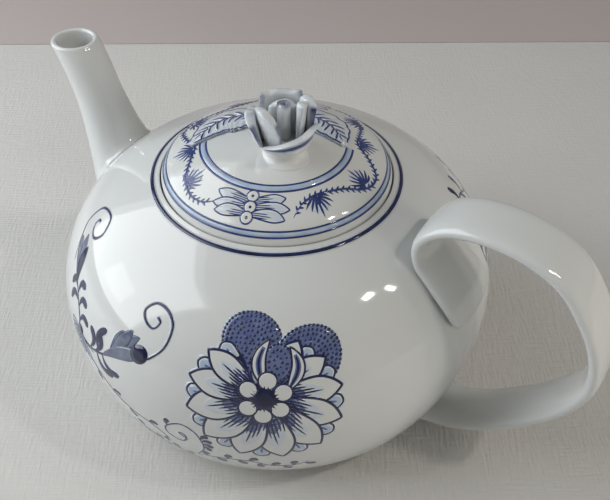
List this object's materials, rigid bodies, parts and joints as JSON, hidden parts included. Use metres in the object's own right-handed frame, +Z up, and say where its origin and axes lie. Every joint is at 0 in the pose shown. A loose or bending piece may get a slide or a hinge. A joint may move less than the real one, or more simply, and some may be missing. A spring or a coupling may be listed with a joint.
{
  "type": "teapot",
  "caption": "Round porcelain teapot with a tapered spout, a scrolled strap handle and a lift-off lid with a rosebud knob and leaves.",
  "frame": {"origin": "on the table, halfway along the whole pot from the tip of the spout to the outside of the handle; the axis of the pot stands at x = -0.0125", "axes": "+Z up along the axis of the pot, spout towards -X, handle towards +X"},
  "size_m": [0.2228, 0.16, 0.1222],
  "materials": {
    "white_glaze": "glossy clear glaze on white porcelain, painted under the glaze in blue",
    "rose_glaze": "glossy white glaze with blue painted edges",
    "leaf_glaze": "glossy glaze with a light blue wash and blue painted edges"
  },
  "bodies": {
    "pot": {"pot_body": "white_glaze", "spout": "white_glaze", "handle": "white_glaze"},
    "lid": {"lid": "white_glaze", "knob_stem": "white_glaze", "rose_heart": "rose_glaze", "rose_inner_petal_1": "rose_glaze", "rose_inner_petal_2": "rose_glaze", "rose_inner_petal_3": "rose_glaze", "rose_outer_petal_1": "rose_glaze", "rose_outer_petal_2": "rose_glaze", "rose_outer_petal_3": "rose_glaze", "rose_outer_petal_4": "rose_glaze", "leaf_left": "leaf_glaze", "leaf_right": "leaf_glaze"}
  },
  "joints": [
    {"name": "lid_lift", "type": "slide", "parent": "pot", "child": "lid", "axis": [0, 0, 1], "range_m": [0, 0.04]}
  ]
}
